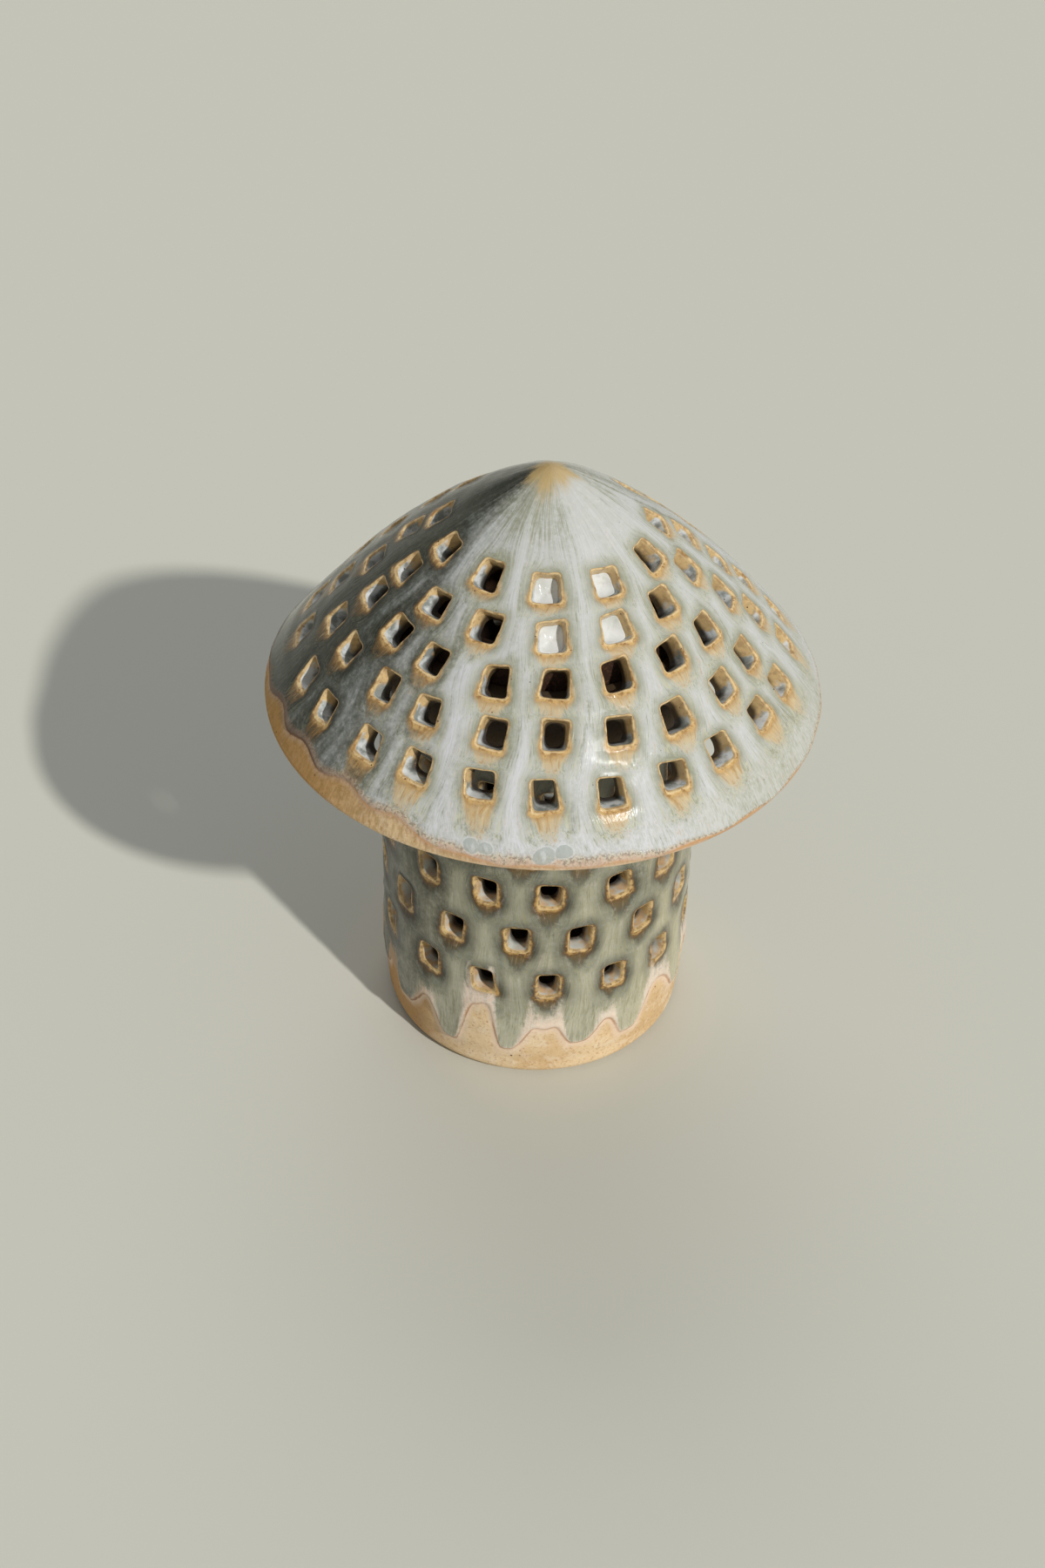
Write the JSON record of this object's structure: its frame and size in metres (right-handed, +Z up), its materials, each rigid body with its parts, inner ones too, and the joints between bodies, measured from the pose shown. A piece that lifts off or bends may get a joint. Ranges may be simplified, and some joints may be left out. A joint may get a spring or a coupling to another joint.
{
  "type": "flower frog",
  "caption": "Stoneware flower frog: a pointed, pierced cap with a rounded lip lifts off a hollow, pierced round stem with a closed floor.",
  "frame": {"origin": "middle of the foot's underside, on the surface the frog stands on", "axes": "+Z up along the axis of the stem and the cap, -Y towards the front, +X to the right seen from the front"},
  "size_m": [0.15, 0.15, 0.1794],
  "materials": {
    "cap_glaze": "gloss",
    "stem_glaze": "gloss",
    "bare_clay": "matte",
    "bridge_glaze": "gloss"
  },
  "bodies": {
    "stem": {"stem_floor": "bare_clay", "stem_wall": "stem_glaze"},
    "cap": {"cap_shell": "cap_glaze", "cap_collar": "bare_clay", "glaze_bridges": "bridge_glaze"}
  },
  "joints": [
    {"name": "cap_lift", "type": "slide", "parent": "stem", "child": "cap", "axis": [0, 0, 1], "range_m": [0, 0.06]}
  ]
}
